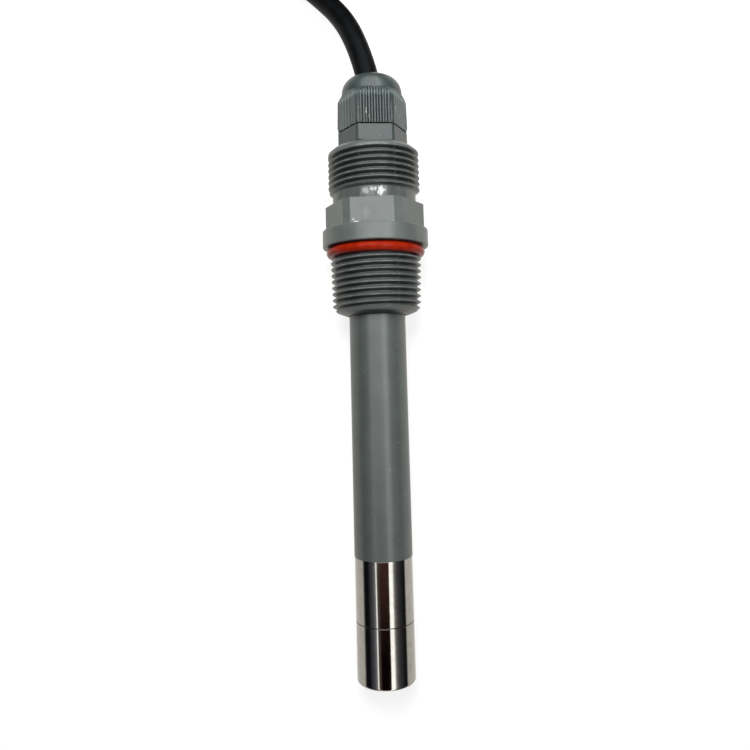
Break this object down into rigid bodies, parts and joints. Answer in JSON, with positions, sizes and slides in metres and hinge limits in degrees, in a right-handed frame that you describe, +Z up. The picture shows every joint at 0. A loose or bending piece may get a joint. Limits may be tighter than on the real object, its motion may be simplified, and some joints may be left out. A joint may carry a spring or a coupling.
{
  "type": "optical dissolved oxygen sensor",
  "caption": "Grey immersion tube with polished steel optical head and screw-off cap, threaded pipe fitting with red seal, cable gland and black cable.",
  "frame": {"origin": "centre of the sensor box at the table, under the middle of the tube; the cable beyond the gland is not counted", "axes": "+Z up, the sensor lies along Y with its sensing cap towards -Y and its cable gland towards +Y, the cap end lower"},
  "size_m": [0.0794, 0.3503, 0.0505],
  "materials": {
    "fitting_plastic": "grey injection moulded plastic, satin",
    "tube_plastic": "grey extruded plastic, smooth satin",
    "gland_plastic": "dark grey polyamide, satin",
    "polished_steel": "stainless steel, mirror polished",
    "red_silicone": "glossy orange red silicone",
    "black_rubber": "black seal rubber",
    "cable_jacket": "black cable jacket, satin",
    "tie_plastic": "black polyamide",
    "sleeve_plastic": "black heat shrink sleeve",
    "optics_black": "matt black moulding",
    "clear_acrylic": "clear, polished",
    "foil_coating": "matt luminescent coating",
    "filter_glass": "red long pass filter",
    "blue_lens": "clear tinted epoxy",
    "red_lens": "clear tinted epoxy",
    "bead_glass": "glass coated thermistor bead",
    "detector_metal": "metal can",
    "circuit_board": "green solder mask",
    "chip_black": "moulded chip packages",
    "potting_resin": "cast epoxy resin",
    "core_colours": "insulated cores",
    "brown_insulation": "brown core insulation",
    "blue_insulation": "blue core insulation",
    "black_insulation": "black core insulation",
    "yellow_insulation": "yellow core insulation",
    "tinned_copper": "tinned crimp ferrule"
  },
  "bodies": {
    "sensor": {"probe_head": "polished_steel", "cap_o_ring": "black_rubber", "tube_o_ring": "black_rubber", "optics_holder": "optics_black", "light_guide": "clear_acrylic", "optical_filter": "filter_glass", "photodiode": "detector_metal", "excitation_led": "blue_lens", "reference_led": "red_lens", "temperature_sensor": "bead_glass", "optics_board": "circuit_board", "board_connector": "chip_black", "main_board": "circuit_board", "microcontroller": "chip_black", "bus_transceiver": "chip_black", "power_regulator": "chip_black", "board_components": "chip_black", "inner_cores": "core_colours", "potting_plug": "potting_resin", "sensor_tube": "tube_plastic", "threaded_fitting": "fitting_plastic", "flange_o_ring": "red_silicone", "gland_gasket": "black_rubber", "gland_body": "gland_plastic", "cable_entry": "cable_jacket", "cable_run": "cable_jacket", "cable_hank": "cable_jacket", "hank_tie_left": "tie_plastic", "hank_tie_right": "tie_plastic", "cable_tail": "cable_jacket", "cable_end_sleeve": "sleeve_plastic", "brown_core": "brown_insulation", "brown_ferrule": "tinned_copper", "blue_core": "blue_insulation", "blue_ferrule": "tinned_copper", "black_core": "black_insulation", "black_ferrule": "tinned_copper", "yellow_core": "yellow_insulation", "yellow_ferrule": "tinned_copper"},
    "cap_thread": {"cap_gasket": "black_rubber"},
    "cap": {"sensing_cap": "polished_steel", "sensing_foil": "foil_coating", "optical_window": "clear_acrylic"},
    "gland_clamp": {"gland_clamp_cage": "gland_plastic", "gland_seal": "black_rubber"},
    "gland_nut": {"gland_nut": "gland_plastic"}
  },
  "joints": [
    {"name": "cap_travel", "type": "slide", "parent": "sensor", "child": "cap_thread", "axis": [0, -0.9981, -0.0624], "range_m": [0, 0.007]},
    {"name": "cap_unscrew", "type": "hinge", "parent": "cap_thread", "child": "cap", "pos_m": [0, -0.07783, 0.0085], "axis": [0, -0.9981, -0.0624], "range_deg": [0, 2520]},
    {"name": "gland_travel", "type": "slide", "parent": "sensor", "child": "gland_clamp", "axis": [0, 0.9981, 0.0624], "range_m": [0, 0.0015]},
    {"name": "gland_nut_loosen", "type": "hinge", "parent": "gland_clamp", "child": "gland_nut", "pos_m": [0, 0.07686, 0.01817], "axis": [0, 0.9981, 0.0624], "range_deg": [0, 360]}
  ],
  "couplings": [
    {"joint": "cap_travel", "follows": "cap_unscrew", "m_per_rad": 0.00015915},
    {"joint": "gland_travel", "follows": "gland_nut_loosen", "m_per_rad": 0.00023873}
  ]
}
